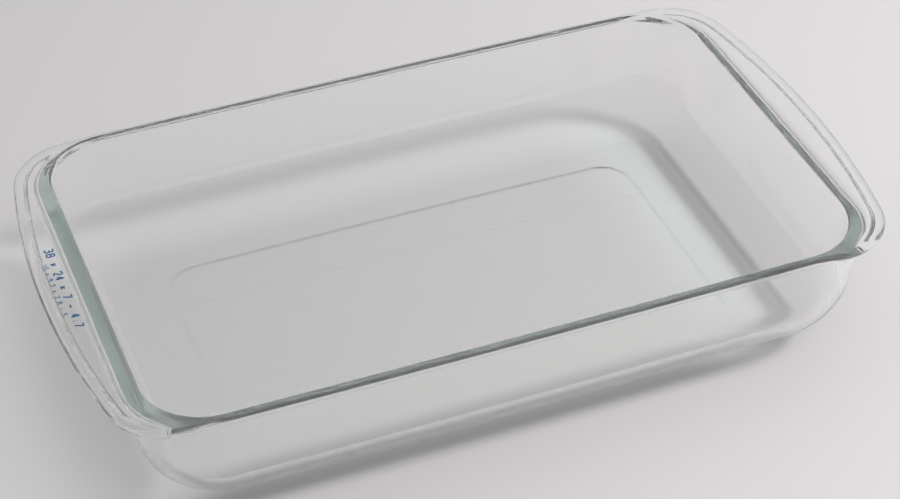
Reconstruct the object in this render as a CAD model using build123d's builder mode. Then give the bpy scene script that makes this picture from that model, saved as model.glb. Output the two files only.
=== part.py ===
from build123d import *
import math
import os

# Lasagna dish: one pressing of clear glass with a small fired-on row of figures
# Lengths are in millimetres. The dish stands on z = 0 with the centre of its base at the origin,
# its length along X and its open top facing +Z.

# Opening, measured at the rim
opening_length = 378
opening_width = 234
opening_corner_radius = 33
side_bow = 1.3

# Height, walls and base
dish_height = 72
wall_thickness = 5
base_thickness = 5
wall_draft_angle = 1.5

# The curve that carries each wall down into the base: how far it reaches in, and how far it rises
outer_sweep_reach = 39.5
outer_sweep_rise = 44
inner_sweep_reach = 36
inner_sweep_rise = 40
corner_tightening_share = 0.45
sweep_step_count = 9

# The end walls thicken towards the rim, where they carry the handles
end_wall_growth = 2
growth_start_height = 14
growth_power = 2
drafted_step_count = 4

# Rim bead and the two handles that it runs out into
side_overhang = 0.5
end_overhang = 6
handle_bow = 15
handle_corner_radius = 35
side_bead_thickness = 4.4
handle_bead_thickness = 6.4
handle_bead_width = 6.2
handle_thickness = 3.4
bead_round_share = 0.48
rim_edge_radius = 1.5

# Cove under each handle, where it meets the wall
cove_radius = 6
cove_step_count = 4

# Shallow recess under the base, inside the foot that the dish stands on
recess_length = 280
recess_width = 156
recess_corner_radius = 20
recess_depth = 0.6
recess_slope_width = 5

# Figures printed on the left handle: a large row and a small row
print_thickness = 0.1
large_figure_height = 4.2
large_stroke_width = 0.85
small_figure_height = 2.6
small_stroke_width = 0.46
print_row_gap = 1.4
print_offset_from_wall = 8
large_row = "38 x 24 x 7 - 4.7"
small_row = "15 x 9.2 x 2.8 - 5"

# Shape of a figure: shares of its height, and strokes as shares of its width and height with
# each corner's rounding as a share of the full rounding
figure_width_share = 0.56
figure_pitch_share = 0.92
figure_rounding_share = 0.22
loop_low_shares = ((0, 0, 1), (1, 0, 1), (1, 0.54, 1), (0, 0.54, 1))
loop_high_shares = ((0.06, 0.54, 1), (0.94, 0.54, 1), (0.94, 1, 1), (0.06, 1, 1))
dot_shares = ((0.5, 0, 0), (0.5, 0.12, 0))
open_stroke_shares = {
    "1": [((0.15, 0.76, 0), (0.6, 1, 0.5), (0.6, 0, 0))],
    "2": [((0, 0.74, 0), (0, 1, 1), (0.94, 1, 1), (0.94, 0.6, 0.5), (0, 0, 0.5), (1, 0, 0))],
    "3": [
        ((0, 1, 0), (0.94, 1, 1), (0.94, 0.54, 1), (0.3, 0.54, 0)),
        ((0.3, 0.54, 0), (1, 0.54, 1), (1, 0, 1), (0, 0, 0)),
    ],
    "4": [((1, 0.28, 0), (0, 0.28, 0.5), (0.72, 1, 0)), ((0.72, 1, 0), (0.72, 0, 0))],
    "5": [((0.94, 1, 0), (0.06, 1, 0), (0.06, 0.58, 0), (1, 0.58, 1), (1, 0, 1), (0, 0, 0))],
    "7": [((0, 1, 0), (1, 1, 0.5), (0.34, 0, 0))],
    "9": [((1, 0.76, 0), (1, 0, 1), (0.1, 0, 0))],
    "x": [((0.1, 0.12, 0), (0.9, 0.62, 0)), ((0.1, 0.62, 0), (0.9, 0.12, 0))],
    "-": [((0, 0.4, 0), (1, 0.4, 0))],
    ".": [dot_shares],
}
closed_stroke_shares = {
    "8": [loop_low_shares, loop_high_shares],
    "9": [((0, 0.48, 1), (1, 0.48, 1), (1, 1, 1), (0, 1, 1))],
}

# Sizes that follow from those above
draft_slope = math.tan(math.radians(wall_draft_angle))
outer_half_length = opening_length / 2 + wall_thickness
outer_half_width = opening_width / 2 + wall_thickness
outer_corner_radius = opening_corner_radius + wall_thickness
dish_half_length = outer_half_length + end_wall_growth + end_overhang + handle_bow
dish_half_width = outer_half_width + side_overhang
handle_start = dish_half_length - handle_bow - handle_corner_radius
cove_height = dish_height - handle_thickness - cove_radius


def bowed_outline(half_length, half_width, end_sag, side_sag, corner_radius):
    # A rectangle with rounded corners whose long sides, and ends if end_sag is given, bow outwards
    corner_x = half_length - end_sag
    corner_y = half_width - side_sag
    with BuildSketch() as outline:
        with BuildLine():
            for side in (-1, 1):
                ThreePointArc((-corner_x, side * corner_y), (0, side * half_width), (corner_x, side * corner_y))
                if end_sag > 0:
                    ThreePointArc((side * corner_x, -corner_y), (side * half_length, 0), (side * corner_x, corner_y))
                else:
                    Line((side * corner_x, -corner_y), (side * corner_x, corner_y))
        make_face()
        fillet(outline.vertices(), radius=corner_radius)
    return outline.sketch


def wall_outline(half_length, half_width, corner_radius, inset):
    # The plan of a wall at some height: its corners tighten more slowly than the wall draws in
    return bowed_outline(
        half_length - inset,
        half_width - inset,
        0,
        side_bow,
        corner_radius - corner_tightening_share * inset,
    )


def sweep_profile(reach, rise, floor_height):
    # Inset and height of each step of the curve from the flat base up to the drafted wall
    tangent_angle = math.atan(draft_slope * rise / reach)
    tangent_height = floor_height + rise * (1 - math.sin(tangent_angle))
    tangent_inset = draft_slope * (dish_height - tangent_height)
    centre_inset = tangent_inset + reach * math.cos(tangent_angle)
    steps = []
    for step in range(sweep_step_count + 1):
        angle = math.pi / 2 + (tangent_angle - math.pi / 2) * step / sweep_step_count
        inset = centre_inset - reach * math.cos(angle)
        height = floor_height + rise * (1 - math.sin(angle))
        steps.append((inset, height))
    return steps


def end_growth(height, full_growth):
    # How far an end wall has thickened outwards at some height
    share = (height - growth_start_height) / (cove_height - growth_start_height)
    return full_growth * max(share, 0) ** growth_power


def wall_block(half_length, half_width, corner_radius, reach, rise, floor_height, drafted_top, full_growth):
    # A solid bounded by the swept lower part and the drafted upper part of a wall
    swept_steps = sweep_profile(reach, rise, floor_height)
    swept_top = swept_steps[-1][1]
    drafted_steps = []
    for step in range(drafted_step_count + 1):
        height = swept_top + (drafted_top - swept_top) * step / drafted_step_count
        drafted_steps.append((draft_slope * (dish_height - height), height))
    with BuildPart() as block:
        for steps, straight in ((swept_steps, False), (drafted_steps, True)):
            for inset, height in steps:
                grown_length = half_length + end_growth(height, full_growth)
                with BuildSketch(Plane.XY.offset(height)):
                    add(wall_outline(grown_length, half_width, corner_radius, inset))
            loft(ruled=straight)
    return block.part


def rim_plate(thickness):
    # The whole outline of the rim and its handles, with a round edge
    with BuildPart() as plate:
        with BuildSketch(Plane.XY.offset(dish_height - thickness)):
            add(bowed_outline(dish_half_length, dish_half_width, handle_bow, side_bow, handle_corner_radius))
        extrude(amount=thickness)
        fillet(plate.edges().filter_by(GeomType.CIRCLE), radius=thickness * bead_round_share)
    return plate.part


def figure_row(row_text, height, stroke_width):
    # A centred row of figures, each drawn with a pen of even width and standing on the X axis
    width = figure_width_share * height
    pitch = figure_pitch_share * height
    rounding = figure_rounding_share * height
    row_start = (width - pitch * len(row_text)) / 2
    with BuildSketch() as row:
        for place, figure in enumerate(row_text):
            figure_start = row_start + pitch * place - width / 2
            for strokes, closed in (
                (open_stroke_shares.get(figure, []), False),
                (closed_stroke_shares.get(figure, []), True),
            ):
                for stroke in strokes:
                    points = [(figure_start + x * width, y * height) for x, y, _ in stroke]
                    corners = stroke if closed else stroke[1:-1]
                    with BuildLine() as pen_path:
                        if corners:
                            radii = [share * rounding for _, _, share in corners]
                            FilletPolyline(points, radius=radii, close=closed)
                        else:
                            Polyline(points)
                    trace(pen_path.edges(), line_width=stroke_width)
    return row.sketch


# Glass: walls, rim bead, handles and base in one pressing
outer_walls = wall_block(
    outer_half_length,
    outer_half_width,
    outer_corner_radius,
    outer_sweep_reach,
    outer_sweep_rise,
    0,
    cove_height,
    end_wall_growth,
)
cavity = wall_block(
    opening_length / 2,
    opening_width / 2,
    opening_corner_radius,
    inner_sweep_reach,
    inner_sweep_rise,
    base_thickness,
    dish_height,
    0,
)

# The slim bead along the two sides, between the handles
with BuildPart() as side_rims:
    add(rim_plate(side_bead_thickness))
    split(bisect_by=Plane.YZ.offset(handle_start), keep=Keep.BOTTOM)
    split(bisect_by=Plane.YZ.offset(-handle_start), keep=Keep.TOP)

with BuildPart() as glass_dish:
    # Handles with their heavier bead, hollowed from below inside it
    add(rim_plate(handle_bead_thickness))
    with BuildSketch():
        Rectangle(2 * handle_start, 2 * dish_half_width)
    extrude(amount=dish_height, mode=Mode.SUBTRACT)
    with BuildSketch(Plane.XY.offset(dish_height - handle_bead_thickness)):
        add(
            bowed_outline(
                dish_half_length - handle_bead_width,
                dish_half_width - handle_bead_width,
                handle_bow,
                side_bow,
                handle_corner_radius - handle_bead_width,
            )
        )
        add(
            wall_outline(outer_half_length, outer_half_width, outer_corner_radius, wall_thickness / 2),
            mode=Mode.SUBTRACT,
        )
    extrude(amount=handle_bead_thickness - handle_thickness, mode=Mode.SUBTRACT)
    add(side_rims.part)

    # Walls, and the small cove that joins the end walls to the handles
    add(outer_walls)
    for step in range(cove_step_count + 1):
        angle = math.pi / 2 * step / cove_step_count
        growth_share = 1 - math.cos(angle)
        height = cove_height + cove_radius * math.sin(angle)
        inset = draft_slope * (dish_height - height)
        with BuildSketch(Plane.XY.offset(height)):
            add(
                wall_outline(
                    outer_half_length + end_wall_growth + cove_radius * growth_share,
                    outer_half_width,
                    outer_corner_radius,
                    inset,
                )
            )
    loft(ruled=True)

    # Inside of the dish, with a rounded rim edge
    add(cavity, mode=Mode.SUBTRACT)
    top_face = glass_dish.faces().filter_by(Axis.Z).group_by(Axis.Z)[-1].sort_by(SortBy.AREA)[-1]
    fillet(top_face.inner_wires()[0].edges(), radius=rim_edge_radius)

    # Recess under the base
    for inset, height in ((0, 0), (recess_slope_width, recess_depth)):
        with BuildSketch(Plane.XY.offset(height)):
            add(
                bowed_outline(
                    recess_length / 2 - inset,
                    recess_width / 2 - inset,
                    0,
                    side_bow,
                    recess_corner_radius - inset,
                )
            )
    loft(ruled=True, mode=Mode.SUBTRACT)
glass_dish.part.label = "glass_dish"

# Printed figures, seated on the flat top of the left handle and read from outside the dish's end
large_row_x = -(outer_half_length + print_offset_from_wall + large_figure_height)
small_row_x = large_row_x - print_row_gap - small_figure_height
with BuildPart() as size_marking:
    for row_x, row_text, height, stroke_width in (
        (large_row_x, large_row, large_figure_height, large_stroke_width),
        (small_row_x, small_row, small_figure_height, small_stroke_width),
    ):
        with BuildSketch(Plane(origin=(row_x, 0, dish_height), x_dir=(0, -1, 0), z_dir=(0, 0, 1))):
            add(figure_row(row_text, height, stroke_width))
        extrude(amount=print_thickness)
size_marking.part.label = "size_marking"

print("cavity volume, cubic mm:", round(cavity.volume))
for piece in (glass_dish.part, size_marking.part):
    print(piece.label, "volume", round(piece.volume), "solids", len(piece.solids()), piece.bounding_box())

os.makedirs("parts", exist_ok=True)
export_step(glass_dish.part, "parts/glass_dish.step")
export_step(size_marking.part, "parts/size_marking.step")
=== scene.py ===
import math
from types import SimpleNamespace

import bpy
from mathutils import Matrix, Vector


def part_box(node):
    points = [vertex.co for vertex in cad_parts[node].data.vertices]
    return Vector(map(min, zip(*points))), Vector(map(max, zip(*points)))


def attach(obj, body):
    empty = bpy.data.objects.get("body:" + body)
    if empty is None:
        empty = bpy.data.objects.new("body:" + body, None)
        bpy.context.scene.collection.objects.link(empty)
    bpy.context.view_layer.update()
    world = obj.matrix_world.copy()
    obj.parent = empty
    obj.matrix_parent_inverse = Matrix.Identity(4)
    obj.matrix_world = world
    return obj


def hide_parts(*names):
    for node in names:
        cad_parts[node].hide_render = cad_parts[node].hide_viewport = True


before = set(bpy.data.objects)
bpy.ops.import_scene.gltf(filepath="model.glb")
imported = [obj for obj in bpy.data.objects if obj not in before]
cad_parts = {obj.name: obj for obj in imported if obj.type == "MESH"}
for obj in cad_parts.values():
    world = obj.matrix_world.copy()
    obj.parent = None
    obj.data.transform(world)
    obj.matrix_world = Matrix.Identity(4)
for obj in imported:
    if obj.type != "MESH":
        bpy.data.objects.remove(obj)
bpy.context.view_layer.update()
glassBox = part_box("glass_dish")
rimHeight = glassBox[1].z
print("frame loaded, rim at", round(rimHeight, 4))

imageWidth = 900


# Node trees are wired with sums: a Field is a number socket that can be added, multiplied and so on
class Field:
    def __init__(self, tree, socket):
        self.tree = tree
        self.socket = socket

    def use(self, operation, *others):
        node = self.tree.nodes.new("ShaderNodeMath")
        node.operation = operation
        for place, value in enumerate((self, *others)):
            if isinstance(value, Field):
                self.tree.links.new(value.socket, node.inputs[place])
            else:
                node.inputs[place].default_value = value
        return Field(self.tree, node.outputs[0])

    def __add__(self, other):
        return self.use("ADD", other)

    def __sub__(self, other):
        return self.use("SUBTRACT", other)

    def __mul__(self, other):
        return self.use("MULTIPLY", other)

    def __truediv__(self, other):
        return self.use("DIVIDE", other)

    def __neg__(self):
        return self.use("MULTIPLY", -1.0)

    def __rsub__(self, other):
        return (-self).use("ADD", other)

    __radd__ = __add__
    __rmul__ = __mul__

    def clamped(self):
        return self.use("MAXIMUM", 0.0).use("MINIMUM", 1.0)

    def eased(self):
        share = self.clamped()
        return share * share * (3.0 - 2.0 * share)

    def pick(self, ifTrue, ifFalse):
        return self * ifTrue + (1.0 - self) * ifFalse


def addSocket(tree, name, kind, direction, value=None):
    socket = tree.interface.new_socket(name=name, in_out=direction, socket_type=kind)
    if value is not None:
        socket.default_value = value
    return socket


def tidyNodes(tree):  # sets the nodes out in columns, so that the tree can be read in the editor
    rows = 24
    for place, node in enumerate(tree.nodes):
        node.location = (200 * (place // rows), -160 * (place % rows))


# The dish: every ring of it, at any height, is the same bowed rectangle with rounded corners
dishSizes = {
    "Opening Length": 0.378,
    "Opening Width": 0.234,
    "Opening Corner": 0.033,
    "Side Bow": 0.0013,
    "Rim Height": rimHeight,
    "Wall": 0.005,
    "Base": 0.005,
    "Draft Angle": math.radians(1.5),
    "Outer Reach": 0.0395,
    "Outer Rise": 0.044,
    "Inner Reach": 0.036,
    "Inner Rise": 0.040,
    "Corner Tightening": 0.45,
    "End Growth": 0.002,
    "Growth Start": 0.014,
    "Cove": 0.006,
    "Dish Length": glassBox[1].x - glassBox[0].x,
    "Dish Width": glassBox[1].y - glassBox[0].y,
    "Handle Sag": 0.015,
    "Handle Corner": 0.035,
    "Side Bead": 0.0044,
    "Handle Bead": 0.0064,
    "Bead Change": 0.050,
    "Bead Width": 0.0062,
    "Bead Step": 0.0030,
    "Handle Thickness": 0.0034,
    "Rim Edge": 0.0015,
    "Recess Length": 0.280,
    "Recess Width": 0.156,
    "Recess Corner": 0.020,
    "Recess Depth": 0.0006,
    "Recess Slope": 0.005,
}
stationsPerQuarter = 64  # points round a quarter of each ring
endShare = 0.25  # of them, those up to the end's edge
cornerShare = 0.625  # and those up to the far end of the corner
guardShare = 0.02  # rows kept close to the edges of a flat stretch, so that its shading stays flat
coveShare = 0.5  # the most of the handle's clear underside that the cove takes
centreSteps = 3  # rounds of closing in on a corner's centre
reachSteps = 4  # rounds of closing in on the rim's outline
mergeDistance = 4e-6
leastWidth = 1e-5
undersideLead = 0.2  # share of the underside's rows before the swell, and as many after it
rowCounts = {
    "flat": 4,
    "sweep": 48,
    "wall": 12,
    "cove": 13,
    "step": 9,
    "underside": 31,
    "bead": 17,
    "rim": 9,
}


def bowDepth(curvature, across):
    # How far a bowed side has fallen back at some distance from its middle
    bent = curvature * across
    return bent * across / (1.0 + (1.0 - bent * bent).use("SQRT"))


def arcCosine(curvature, across):
    # How squarely a bowed side faces outwards at some distance from its middle
    bent = curvature * across
    return (1.0 - bent * bent).use("SQRT")


def outlineBends(halfLength, halfWidth, endSag, sideBow, corner):
    # Curvatures of the bowed end and side, and the centre and the two end angles of the corner's arc
    endChord = halfWidth - sideBow
    sideChord = halfLength - endSag
    endCurve = 2.0 * endSag / (endChord * endChord + endSag * endSag)
    sideCurve = 2.0 * sideBow / (sideChord * sideChord + sideBow * sideBow)
    endInner = endCurve / (1.0 - endCurve * corner)
    sideInner = sideCurve / (1.0 - sideCurve * corner)
    centreY = halfWidth - corner - sideBow
    for _ in range(centreSteps):  # the corner's centre lies on both bows moved in by its radius
        centreX = halfLength - corner - bowDepth(endInner, centreY)
        centreY = halfWidth - corner - bowDepth(sideInner, centreX)
    endAngle = (endInner * centreY).use("ARCSINE")
    sideAngle = math.pi / 2 - (sideInner * centreX).use("ARCSINE")
    return endCurve, sideCurve, centreX, centreY, endAngle, sideAngle


outlineInputs = ("Half Length", "Half Width", "End Sag", "Side Bow", "Corner")


def openGroup(name, inputs, outputs):
    tree = bpy.data.node_groups.new(name, "GeometryNodeTree")
    for inputName in inputs:
        addSocket(tree, inputName, "NodeSocketFloat", "INPUT")
    for outputName in outputs:
        addSocket(tree, outputName, "NodeSocketFloat", "OUTPUT")
    given = tree.nodes.new("NodeGroupInput")
    return tree, [Field(tree, given.outputs[inputName]) for inputName in inputs]


def closeGroup(tree, results):
    ends = tree.nodes.new("NodeGroupOutput")
    for outputName, value in results.items():
        tree.links.new(value.socket, ends.inputs[outputName])
    tidyNodes(tree)


def buildOutlineGroup():
    # A point of the bowed rectangle, and the way that faces out of it there
    inputs = ("Along", *outlineInputs)
    tree, (along, *form) = openGroup("outlinePoint", inputs, ("X", "Y", "Out X", "Out Y"))
    halfLength, halfWidth, endSag, sideBow, corner = form
    endCurve, sideCurve, centreX, centreY, endAngle, sideAngle = outlineBends(*form)

    # Quarter of the ring, and the share of the way from the middle of the end to the middle of the side
    quarters = along * 4.0
    quarter = quarters.use("FLOOR")
    odd = quarter.use("MODULO", 2.0)
    within = quarters - quarter
    share = within + odd * (1.0 - 2.0 * within)
    signX = 1.0 - 2.0 * ((quarter + 1.0).use("MODULO", 4.0) / 2.0).use("FLOOR")
    signY = 1.0 - 2.0 * (quarter.use("MODULO", 4.0) / 2.0).use("FLOOR")

    endY = (centreY + corner * endAngle.use("SINE")) * (share / endShare)
    endX = halfLength - bowDepth(endCurve, endY)
    turn = endAngle + (sideAngle - endAngle) * ((share - endShare) / (cornerShare - endShare))
    cornerX = centreX + corner * turn.use("COSINE")
    cornerY = centreY + corner * turn.use("SINE")
    sideX = (centreX + corner * sideAngle.use("COSINE")) * ((1.0 - share) / (1.0 - cornerShare))
    sideY = halfWidth - bowDepth(sideCurve, sideX)
    onEnd = share.use("LESS_THAN", endShare)
    onSide = share.use("GREATER_THAN", cornerShare)
    outOfCornerX = onSide.pick(sideCurve * sideX, turn.use("COSINE"))
    outOfCornerY = onSide.pick(arcCosine(sideCurve, sideX), turn.use("SINE"))
    results = {
        "X": onEnd.pick(endX, onSide.pick(sideX, cornerX)) * signX,
        "Y": onEnd.pick(endY, onSide.pick(sideY, cornerY)) * signY,
        "Out X": onEnd.pick(arcCosine(endCurve, endY), outOfCornerX) * signX,
        "Out Y": onEnd.pick(endCurve * endY, outOfCornerY) * signY,
    }
    closeGroup(tree, results)
    return tree


def buildReachGroup():
    # How far a point has to go, straight out of the wall that it is on, to reach the rim's own outline
    inputs = ("X", "Y", "Out X", "Out Y", *outlineInputs)
    outputs = ("Reach", "Edge X", "Edge Y", "Edge Out X", "Edge Out Y")
    tree, (x, y, outX, outY, *form) = openGroup("outlineReach", inputs, outputs)
    halfLength, halfWidth, endSag, sideBow, corner = form
    endCurve, sideCurve, centreX, centreY, endAngle, sideAngle = outlineBends(*form)
    signX, signY = x.use("SIGN"), y.use("SIGN")
    fromX, fromY = x.use("ABSOLUTE"), y.use("ABSOLUTE")
    wayX, wayY = outX.use("ABSOLUTE"), outY.use("ABSOLUTE")

    def facing(pointX, pointY):
        # Distance outside the outline, and the way out of its nearest stretch
        besideX, besideY = pointX - centreX, pointY - centreY
        beside = (besideX * besideX + besideY * besideY).use("SQRT")
        onEnd = (besideY * endAngle.use("COSINE")).use("LESS_THAN", besideX * endAngle.use("SINE"))
        onSide = (besideX * sideAngle.use("SINE")).use("LESS_THAN", besideY * sideAngle.use("COSINE"))
        endOut, sideOut = arcCosine(endCurve, pointY), arcCosine(sideCurve, pointX)
        endGap = (pointX - halfLength + bowDepth(endCurve, pointY)) * endOut
        sideGap = (pointY - halfWidth + bowDepth(sideCurve, pointX)) * sideOut
        gap = onEnd.pick(endGap, onSide.pick(sideGap, beside - corner))
        facingX = onEnd.pick(endOut, onSide.pick(sideCurve * pointX, besideX / beside))
        facingY = onEnd.pick(endCurve * pointY, onSide.pick(sideOut, besideY / beside))
        return gap, facingX, facingY

    reach = x * 0.0
    for _ in range(reachSteps):
        reach = reach - facing(fromX + wayX * reach, fromY + wayY * reach)[0]
    edgeX, edgeY = fromX + wayX * reach, fromY + wayY * reach
    _, facingX, facingY = facing(edgeX, edgeY)
    results = {
        "Reach": reach,
        "Edge X": edgeX * signX,
        "Edge Y": edgeY * signY,
        "Edge Out X": facingX * signX,
        "Edge Out Y": facingY * signY,
    }
    closeGroup(tree, results)
    return tree


def buildDishTree(outlineGroup, reachGroup, glass):
    tree = bpy.data.node_groups.new("pressedDish", "GeometryNodeTree")
    addSocket(tree, "Geometry", "NodeSocketGeometry", "OUTPUT")
    for name, value in dishSizes.items():
        addSocket(tree, name, "NodeSocketFloat", "INPUT", value)
    given = tree.nodes.new("NodeGroupInput")
    size = {name: Field(tree, given.outputs[name]) for name in dishSizes}
    join = tree.nodes.new("GeometryNodeJoinGeometry")
    stations = 4 * stationsPerQuarter

    def placed(group, values):
        node = tree.nodes.new("GeometryNodeGroup")
        node.node_tree = group
        for socket, value in zip(node.inputs, values):
            if isinstance(value, Field):
                tree.links.new(value.socket, socket)
            else:
                socket.default_value = value
        return [Field(tree, socket) for socket in node.outputs]

    def outline(along, halfLength, halfWidth, corner):
        return placed(outlineGroup, (along, halfLength, halfWidth, 0.0, size["Side Bow"], corner))

    def strip(name, rows, place):
        # A band of rows round the dish. place(along, up) gives where each point goes
        grid = tree.nodes.new("GeometryNodeMeshGrid")
        grid.label = name
        grid.inputs["Vertices X"].default_value = stations + 1
        grid.inputs["Vertices Y"].default_value = rows
        position = tree.nodes.new("GeometryNodeInputPosition")
        split = tree.nodes.new("ShaderNodeSeparateXYZ")
        tree.links.new(position.outputs[0], split.inputs[0])
        along = ((Field(tree, split.outputs["X"]) + 0.5) * stations).use("ROUND") / stations
        up = ((Field(tree, split.outputs["Y"]) + 0.5) * (rows - 1)).use("ROUND") / (rows - 1)
        x, y, z = place(along, up)
        combine = tree.nodes.new("ShaderNodeCombineXYZ")
        for socket, value in zip(combine.inputs, (x, y, z)):
            tree.links.new(value.socket, socket)
        move = tree.nodes.new("GeometryNodeSetPosition")
        tree.links.new(grid.outputs["Mesh"], move.inputs["Geometry"])
        tree.links.new(combine.outputs[0], move.inputs["Position"])
        tree.links.new(move.outputs[0], join.inputs[0])

    def guarded(up):  # runs from 0 to 1 with its two middle rows close to the ends
        third = up * 3.0
        edges = (third.clamped() + (third - 2.0).clamped()) * guardShare
        return edges + (third - 1.0).clamped() * (1.0 - 2.0 * guardShare)

    # The outer and inner walls: inset from the rim, and height, along the sweep and up the draft
    slope = size["Draft Angle"].use("TANGENT")
    top = size["Rim Height"]

    def sweep(reach, rise, floorHeight):
        tangentAngle = (slope * rise / reach).use("ARCTANGENT")
        tangentHeight = floorHeight + rise * (1.0 - tangentAngle.use("SINE"))
        centreInset = slope * (top - tangentHeight) + reach * tangentAngle.use("COSINE")

        def along(up):
            angle = math.pi / 2 + (tangentAngle - math.pi / 2) * up
            return centreInset - reach * angle.use("COSINE"), floorHeight + rise * (1.0 - angle.use("SINE"))

        return along, tangentHeight

    tightening = size["Corner Tightening"]
    growthTop = top - size["Handle Thickness"] - size["Cove"]

    def outerWall(along, inset, height):
        share = ((height - size["Growth Start"]) / (growthTop - size["Growth Start"])).clamped()
        grown = size["End Growth"] * share * share
        return outline(
            along,
            size["Opening Length"] / 2.0 + size["Wall"] + grown - inset,
            size["Opening Width"] / 2.0 + size["Wall"] - inset,
            size["Opening Corner"] + size["Wall"] - tightening * inset,
        )

    def innerWall(along, inset):
        return outline(
            along,
            size["Opening Length"] / 2.0 - inset,
            size["Opening Width"] / 2.0 - inset,
            size["Opening Corner"] - tightening * inset,
        )

    def recessRing(along, inset):
        return outline(
            along,
            size["Recess Length"] / 2.0 - inset,
            size["Recess Width"] / 2.0 - inset,
            size["Recess Corner"] - inset,
        )

    nothing = top * 0.0
    outerSweep, outerTangent = sweep(size["Outer Reach"], size["Outer Rise"], nothing)
    innerSweep, innerTangent = sweep(size["Inner Reach"], size["Inner Rise"], size["Base"])

    # Underside: the recess, its slope, and the flat foot round it
    def recessFlat(along, up):
        x, y, *_ = recessRing(along, size["Recess Slope"])
        out = guarded(up)
        return x * out, y * out, size["Recess Depth"]

    def recessSlope(along, up):
        x, y, *_ = recessRing(along, size["Recess Slope"] * (1.0 - up))
        return x, y, size["Recess Depth"] * (1.0 - up.eased())

    def foot(along, up):
        fromX, fromY, *_ = recessRing(along, 0.0)
        toX, toY, *_ = outerWall(along, outerSweep(nothing)[0], nothing)
        out = guarded(up)
        return fromX + (toX - fromX) * out, fromY + (toY - fromY) * out, nothing

    strip("recess", rowCounts["flat"], recessFlat)
    strip("recess slope", rowCounts["step"], recessSlope)
    strip("foot", rowCounts["flat"], foot)

    # Outer wall: the sweep, and the drafted stretch up to the underside of the rim
    def outerSweepPoint(along, up):
        inset, height = outerSweep(up)
        x, y, *_ = outerWall(along, inset, height)
        return x, y, height

    strip("outer sweep", rowCounts["sweep"], outerSweepPoint)

    handleStart = size["Dish Length"] / 2.0 - size["Handle Sag"] - size["Handle Corner"]

    def rimPlan(along):
        # Where the rim's section stands at this station, straight out of the wall, and the size of its bead
        plan = SimpleNamespace()
        wall = outerWall(along, slope * size["Side Bead"], growthTop)
        halves = (size["Dish Length"] / 2.0, size["Dish Width"] / 2.0)
        form = (*halves, size["Handle Sag"], size["Side Bow"], size["Handle Corner"])
        plan.reach, plan.edgeX, plan.edgeY, plan.faceX, plan.faceY = placed(reachGroup, (*wall, *form))
        plan.outX, plan.outY = wall[2:]
        change = (wall[0].use("ABSOLUTE") - handleStart) / size["Bead Change"] + 0.5
        thickness = change.eased().pick(size["Handle Bead"], size["Side Bead"])
        plan.radius = thickness / 2.0
        plan.level = top - plan.radius
        plan.open = (plan.reach - plan.radius).use("MAXIMUM", 0.0)
        plan.cove = (plan.open * coveShare).use("MINIMUM", size["Cove"])
        thinned = ((plan.reach - size["Bead Width"] - size["Bead Step"] / 2.0) / size["Bead Step"]).eased()
        plan.rise = (thickness - size["Handle Thickness"]) * thinned
        plan.startAngle = -((plan.radius - plan.reach) / plan.radius).clamped().use("ARCCOSINE")
        plan.under = plan.level + plan.radius * plan.startAngle.use("SINE")
        plan.back = plan.radius * (1.0 - plan.startAngle.use("COSINE"))
        return plan

    def wallUnderRim(along, height):
        x, y, *_ = outerWall(along, slope * (top - height), height)
        return x, y

    def draftedPoint(along, up):
        plan = rimPlan(along)
        reached = plan.under + plan.rise - plan.cove
        height = outerTangent + (reached - outerTangent) * up * (2.0 - up)  # closer rows towards the rim
        return *wallUnderRim(along, height), height

    strip("drafted wall", rowCounts["wall"], draftedPoint)

    def covePoint(along, up):
        plan = rimPlan(along)
        start = plan.under + plan.rise - plan.cove
        wallX, wallY = wallUnderRim(along, start)
        angle = up * (math.pi / 2)
        out = plan.cove * (1.0 - angle.use("COSINE"))
        return wallX + plan.outX * out, wallY + plan.outY * out, start + plan.cove * angle.use("SINE")

    strip("cove", rowCounts["cove"], covePoint)

    def undersidePoint(along, up):
        # Flat under the handle, then the swell down to the bead
        plan = rimPlan(along)
        height = plan.under + plan.rise
        wallX, wallY = wallUnderRim(along, height - plan.cove)
        fromX = wallX + plan.outX * plan.cove
        fromY = wallY + plan.outY * plan.cove
        toX = plan.edgeX - plan.faceX * plan.back
        toY = plan.edgeY - plan.faceY * plan.back
        flat = (plan.open - plan.cove).use("MAXIMUM", leastWidth)
        swellStart = plan.reach - size["Bead Width"] - size["Bead Step"] / 2.0 - plan.cove
        startShare = (swellStart / flat).clamped()
        stopShare = ((swellStart + size["Bead Step"]) / flat).clamped()
        lead = (up / undersideLead).clamped()
        middle = ((up - undersideLead) / (1.0 - 2.0 * undersideLead)).clamped()
        tail = ((up - (1.0 - undersideLead)) / undersideLead).clamped()
        out = lead * startShare + middle * (stopShare - startShare) + tail * (1.0 - stopShare)
        return fromX + (toX - fromX) * out, fromY + (toY - fromY) * out, height - plan.rise * middle.eased()

    strip("underside", rowCounts["underside"], undersidePoint)

    def beadPoint(along, up):
        plan = rimPlan(along)
        angle = plan.startAngle + (math.pi / 2 - plan.startAngle) * up
        back = plan.radius * (1.0 - angle.use("COSINE"))
        height = plan.level + plan.radius * angle.use("SINE")
        return plan.edgeX - plan.faceX * back, plan.edgeY - plan.faceY * back, height

    strip("bead", rowCounts["bead"], beadPoint)

    def rimTopPoint(along, up):
        plan = rimPlan(along)
        fromX = plan.edgeX - plan.faceX * plan.radius
        fromY = plan.edgeY - plan.faceY * plan.radius
        toX, toY, *_ = innerWall(along, -size["Rim Edge"])
        out = guarded(up)
        return fromX + (toX - fromX) * out, fromY + (toY - fromY) * out, top

    strip("rim top", rowCounts["flat"], rimTopPoint)

    def rimEdgePoint(along, up):
        angle = up * (math.pi / 2)
        inset = size["Rim Edge"] * (angle.use("SINE") - 1.0)
        x, y, *_ = innerWall(along, inset)
        return x, y, top - size["Rim Edge"] * (1.0 - angle.use("COSINE"))

    strip("rim edge", rowCounts["rim"], rimEdgePoint)

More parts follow.
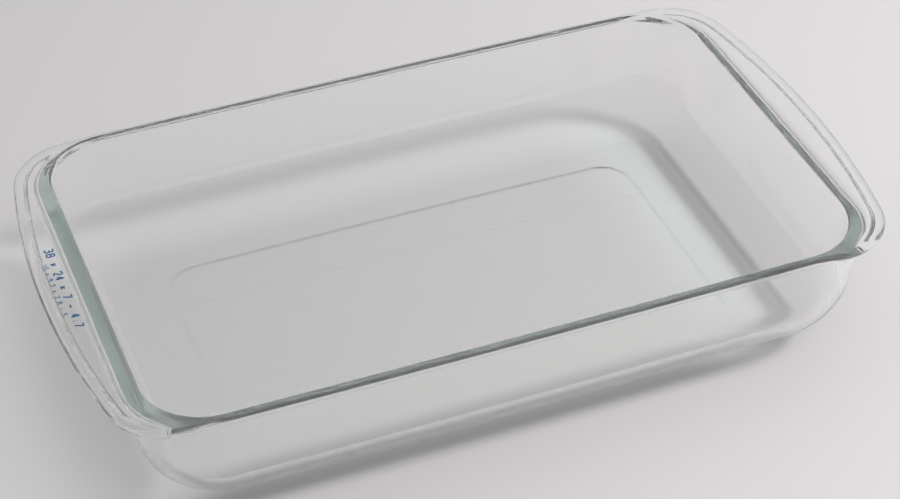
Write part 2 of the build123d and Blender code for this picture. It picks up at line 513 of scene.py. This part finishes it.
    def innerDraftPoint(along, up):
        start = top - size["Rim Edge"]
        height = start + (innerTangent - start) * up
        x, y, *_ = innerWall(along, slope * (top - height) * up.use("GREATER_THAN", guardShare))
        return x, y, height

    strip("inner wall", rowCounts["wall"], innerDraftPoint)

    def innerSweepPoint(along, up):
        inset, height = innerSweep(1.0 - up)
        x, y, *_ = innerWall(along, inset)
        return x, y, height

    strip("inner sweep", rowCounts["sweep"], innerSweepPoint)

    def floorPoint(along, up):
        x, y, *_ = innerWall(along, innerSweep(nothing)[0])
        out = guarded(1.0 - up)
        return x * out, y * out, size["Base"]

    strip("floor", rowCounts["flat"], floorPoint)

    merge = tree.nodes.new("GeometryNodeMergeByDistance")
    merge.inputs["Distance"].default_value = mergeDistance
    smooth = tree.nodes.new("GeometryNodeSetShadeSmooth")
    realize = tree.nodes.new("GeometryNodeRealizeInstances")
    setMaterial = tree.nodes.new("GeometryNodeSetMaterial")
    setMaterial.inputs["Material"].default_value = glass
    result = tree.nodes.new("NodeGroupOutput")
    chain = (join, merge, smooth, realize, setMaterial, result)
    for before, after in zip(chain, chain[1:]):
        tree.links.new(before.outputs[0], after.inputs[0])
    tidyNodes(tree)
    return tree


def meshFromTree(name, tree, values):
    # Runs a geometry node tree on an empty mesh and keeps the result as a plain mesh
    holder = bpy.data.objects.new(name + "Holder", bpy.data.meshes.new(name + "Holder"))
    bpy.context.scene.collection.objects.link(holder)
    modifier = holder.modifiers.new("shape", "NODES")
    modifier.node_group = tree
    identifiers = {s.name: s.identifier for s in tree.interface.items_tree if s.in_out == "INPUT"}
    for inputName, value in values.items():
        modifier[identifiers[inputName]] = value
    depsgraph = bpy.context.evaluated_depsgraph_get()
    mesh = bpy.data.meshes.new_from_object(holder.evaluated_get(depsgraph), depsgraph=depsgraph)
    mesh.name = name
    holder.modifiers.remove(modifier)
    bpy.data.objects.remove(holder)
    piece = bpy.data.objects.new(name, mesh)
    bpy.context.scene.collection.objects.link(piece)
    return piece


# Glass: clear, faintly green through a long path, with the soft waviness of a pressing
glassLook = {
    "ior": 1.51,
    "transmission": 0.97,
    "tint": (0.60, 0.93, 0.80, 1.0),
    "density": 1.2,
    "shadeBlend": 0.3,
    # painted shade for the light that lamps send through the glass, by how squarely it crosses
    "shadeSteps": ((0.0, 1.07), (0.3, 1.07), (0.45, 0.9), (0.65, 0.5), (1.0, 0.25)),
    # painted shade for the light that lamps send through surfaces facing the ends
    "endSteps": ((0.0, 1.02), (0.5, 1.02), (0.68, 0.88), (0.9, 0.90), (1.0, 0.96)),
    "waveScale": 16.0,
    "waveDetail": 1.0,
    "waveHeight": 0.000004,
}


def fillRamp(ramp, steps, tint):
    # Sets a colour ramp's stops from pairs of place and brightness
    while len(ramp.elements) < len(steps):
        ramp.elements.new(0.5)
    for element, (place, brightness) in zip(ramp.elements, steps):
        element.position = place
        element.color = (*(brightness * channel for channel in tint), 1.0)


def buildGlass():
    material = bpy.data.materials.new("clearGlass")
    material.use_nodes = True
    nodes, links = material.node_tree.nodes, material.node_tree.links
    shader = nodes["Principled BSDF"]
    output = nodes["Material Output"]
    shader.inputs["Base Color"].default_value = (1.0, 1.0, 1.0, 1.0)
    shader.inputs["Roughness"].default_value = 0.0
    shader.inputs["IOR"].default_value = glassLook["ior"]
    shader.inputs["Transmission Weight"].default_value = glassLook["transmission"]
    absorption = nodes.new("ShaderNodeVolumeAbsorption")
    absorption.inputs["Color"].default_value = glassLook["tint"]
    absorption.inputs["Density"].default_value = glassLook["density"]
    links.new(absorption.outputs[0], output.inputs["Volume"])

    # Waves a few centimetres long, as the mould leaves them
    coordinates = nodes.new("ShaderNodeTexCoord")
    waves = nodes.new("ShaderNodeTexNoise")
    waves.inputs["Scale"].default_value = glassLook["waveScale"]
    waves.inputs["Detail"].default_value = glassLook["waveDetail"]
    bump = nodes.new("ShaderNodeBump")
    bump.inputs["Strength"].default_value = 1.0
    bump.inputs["Distance"].default_value = glassLook["waveHeight"]
    links.new(coordinates.outputs["Object"], waves.inputs["Vector"])
    links.new(waves.outputs[0], bump.inputs["Height"])
    links.new(bump.outputs[0], shader.inputs["Normal"])

    # Painted shade: lamps reach what stands behind the glass through a transparent colour from a ramp, a
    # little more than all their light where it crosses square on and less where it crosses at a slant
    path = nodes.new("ShaderNodeLightPath")
    facing = nodes.new("ShaderNodeLayerWeight")
    facing.inputs["Blend"].default_value = glassLook["shadeBlend"]
    shade = nodes.new("ShaderNodeValToRGB")
    fillRamp(shade.color_ramp, glassLook["shadeSteps"], (1.0, 1.01, 1.005))
    links.new(facing.outputs["Facing"], shade.inputs["Fac"])

    # Painted shade: light crossing surfaces that face the ends, picked by the normal's x, is dimmed by a
    # ramp, standing in for the way the curve below each end wall spreads the light that crosses it
    surface = nodes.new("ShaderNodeNewGeometry")
    split = nodes.new("ShaderNodeSeparateXYZ")
    endways = nodes.new("ShaderNodeMath")
    endways.operation = "ABSOLUTE"
    endShade = nodes.new("ShaderNodeValToRGB")
    fillRamp(endShade.color_ramp, glassLook["endSteps"], (1.0, 1.0, 1.0))
    both = nodes.new("ShaderNodeVectorMath")
    both.operation = "MULTIPLY"
    links.new(surface.outputs["Normal"], split.inputs[0])
    links.new(split.outputs["X"], endways.inputs[0])
    links.new(endways.outputs[0], endShade.inputs["Fac"])
    links.new(shade.outputs["Color"], both.inputs[0])
    links.new(endShade.outputs["Color"], both.inputs[1])
    through = nodes.new("ShaderNodeBsdfTransparent")
    links.new(both.outputs[0], through.inputs["Color"])
    mix = nodes.new("ShaderNodeMixShader")
    links.new(path.outputs["Is Shadow Ray"], mix.inputs["Fac"])
    links.new(shader.outputs[0], mix.inputs[1])
    links.new(through.outputs[0], mix.inputs[2])
    links.new(mix.outputs[0], output.inputs["Surface"])
    return material


clearGlass = buildGlass()
dishTree = buildDishTree(buildOutlineGroup(), buildReachGroup(), clearGlass)
glassDish = meshFromTree("pressedGlassDish", dishTree, dishSizes)
print("dish:", len(glassDish.data.vertices), "points")
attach(glassDish, "root")
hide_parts("glass_dish")


# Fired-on figures
enamelLook = {
    "thick": (0.012, 0.085, 0.20, 1.0),
    "thin": (0.03, 0.15, 0.31, 1.0),
    "grainScale": 900.0,
    "glossy": 0.28,
    "matt": 0.5,
    "grainHeight": 0.00001,
}


def buildEnamel():
    # Blue enamel, a little uneven in depth and gloss where the screen laid it on thinner
    material = bpy.data.materials.new("firedEnamel")
    material.use_nodes = True
    nodes, links = material.node_tree.nodes, material.node_tree.links
    shader = nodes["Principled BSDF"]
    coordinates = nodes.new("ShaderNodeTexCoord")
    grain = nodes.new("ShaderNodeTexNoise")
    grain.inputs["Scale"].default_value = enamelLook["grainScale"]
    depth = nodes.new("ShaderNodeMix")
    depth.data_type = "RGBA"
    depth.inputs["A"].default_value = enamelLook["thick"]
    depth.inputs["B"].default_value = enamelLook["thin"]
    gloss = nodes.new("ShaderNodeMapRange")
    gloss.inputs["To Min"].default_value = enamelLook["glossy"]
    gloss.inputs["To Max"].default_value = enamelLook["matt"]
    bump = nodes.new("ShaderNodeBump")
    bump.inputs["Distance"].default_value = enamelLook["grainHeight"]
    links.new(coordinates.outputs["Object"], grain.inputs["Vector"])
    links.new(grain.outputs[0], depth.inputs["Factor"])
    links.new(grain.outputs[0], gloss.inputs["Value"])
    links.new(grain.outputs[0], bump.inputs["Height"])
    links.new(depth.outputs["Result"], shader.inputs["Base Color"])
    links.new(gloss.outputs[0], shader.inputs["Roughness"])
    links.new(bump.outputs[0], shader.inputs["Normal"])
    return material


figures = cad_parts["size_marking"]
figures.data.materials.clear()
figures.data.materials.append(buildEnamel())

# Floor, lamps and surroundings: bright behind and above the dish, dimmer below and towards the camera
studio = {
    "floorSize": 3.0,
    "floorDrop": 0.0002,
    "floorColour": (0.72, 0.70, 0.70, 1.0),
    "floorRoughness": 0.6,
    "floorShine": 0.2,
    "brightWay": (0.3, 0.5, 0.8),
    "skySteps": ((0.0, 0.26), (0.5, 0.30), (0.7, 0.56), (1.0, 0.88)),
    "skyTint": (1.0, 1.0, 1.02),
    "skyStrength": 0.5,
}
lamps = {
    "keyLamp": {"place": (1.95, -0.75, 1.9), "side": 0.6, "power": 62.0},
    "fillLamp": {"place": (0.6, -1.1, 1.4), "side": 1.4, "power": 6.5},
}


def buildFloor():
    half = studio["floorSize"]
    mesh = bpy.data.meshes.new("floor")
    corners = [(-half, -half, 0), (half, -half, 0), (half, half, 0), (-half, half, 0)]
    mesh.from_pydata(corners, [], [(0, 1, 2, 3)])
    floor = bpy.data.objects.new("floor", mesh)
    floor.location.z = -studio["floorDrop"]
    bpy.context.scene.collection.objects.link(floor)
    paper = bpy.data.materials.new("paper")
    paper.use_nodes = True
    shader = paper.node_tree.nodes["Principled BSDF"]
    shader.inputs["Base Color"].default_value = studio["floorColour"]
    shader.inputs["Roughness"].default_value = studio["floorRoughness"]
    shader.inputs["Specular IOR Level"].default_value = studio["floorShine"]
    mesh.materials.append(paper)


def addLamp(name, place, side, power):
    lamp = bpy.data.lights.new(name, "AREA")
    lamp.size = side
    lamp.energy = power
    holder = bpy.data.objects.new(name, lamp)
    bpy.context.scene.collection.objects.link(holder)
    aim = (-Vector(place)).to_track_quat("-Z", "Y").to_matrix().to_4x4()
    holder.matrix_world = Matrix.Translation(Vector(place)) @ aim
    holder.visible_glossy = False
    holder.visible_transmission = False


def buildSky():
    world = bpy.data.worlds.new("studio")
    bpy.context.scene.world = world
    world.use_nodes = True
    nodes, links = world.node_tree.nodes, world.node_tree.links
    sky = nodes["Background"]
    coordinates = nodes.new("ShaderNodeTexCoord")
    towards = nodes.new("ShaderNodeVectorMath")
    towards.operation = "DOT_PRODUCT"
    towards.inputs[1].default_value = Vector(studio["brightWay"]).normalized()
    share = nodes.new("ShaderNodeMapRange")
    share.inputs["From Min"].default_value = -1.0
    steps = nodes.new("ShaderNodeValToRGB")
    steps.color_ramp.interpolation = "EASE"
    fillRamp(steps.color_ramp, studio["skySteps"], studio["skyTint"])
    links.new(coordinates.outputs["Generated"], towards.inputs[0])
    links.new(towards.outputs["Value"], share.inputs["Value"])
    links.new(share.outputs[0], steps.inputs["Fac"])
    links.new(steps.outputs["Color"], sky.inputs["Color"])
    sky.inputs["Strength"].default_value = studio["skyStrength"]


buildFloor()
for lampName, lampSizes in lamps.items():
    addLamp(lampName, **lampSizes)
buildSky()
print("studio:", len(lamps), "lamps")

# Camera
view = {
    "azimuth": -21.37,
    "elevation": 39.13,
    "roll": -0.34,
    "distance": 1.1703,
    "focalPixels": 2300.0,
    "sensorWidth": 36.0,
    "nearest": 0.01,
}
viewTarget = Vector((-0.01406, -0.04333, rimHeight))


def addCamera():
    azimuth, elevation, roll = (math.radians(view[k]) for k in ("azimuth", "elevation", "roll"))
    behind = Vector((math.sin(azimuth), -math.cos(azimuth), 0.0))
    back = math.cos(elevation) * behind + Vector((0.0, 0.0, math.sin(elevation)))
    level = Vector((math.cos(azimuth), math.sin(azimuth), 0.0))
    upright = back.cross(level)
    right = math.cos(roll) * level + math.sin(roll) * upright
    up = math.cos(roll) * upright - math.sin(roll) * level
    eye = viewTarget + back * view["distance"]
    lens = bpy.data.cameras.new("photoCamera")
    lens.sensor_width = view["sensorWidth"]
    lens.lens = view["focalPixels"] * lens.sensor_width / imageWidth
    lens.clip_start = view["nearest"]
    camera = bpy.data.objects.new("photoCamera", lens)
    bpy.context.scene.collection.objects.link(camera)
    turn = Matrix((right, up, back)).transposed().to_4x4()
    camera.matrix_world = Matrix.Translation(eye) @ turn
    bpy.context.scene.camera = camera


addCamera()

glassBounces = 64
settings = bpy.context.scene.cycles
settings.max_bounces = glassBounces
settings.transmission_bounces = glassBounces
settings.glossy_bounces = glassBounces
settings.transparent_max_bounces = glassBounces
settings.diffuse_bounces = 4
settings.caustics_refractive = False  # lamps come through the glass as shade instead
bpy.context.scene.view_settings.view_transform = "Standard"
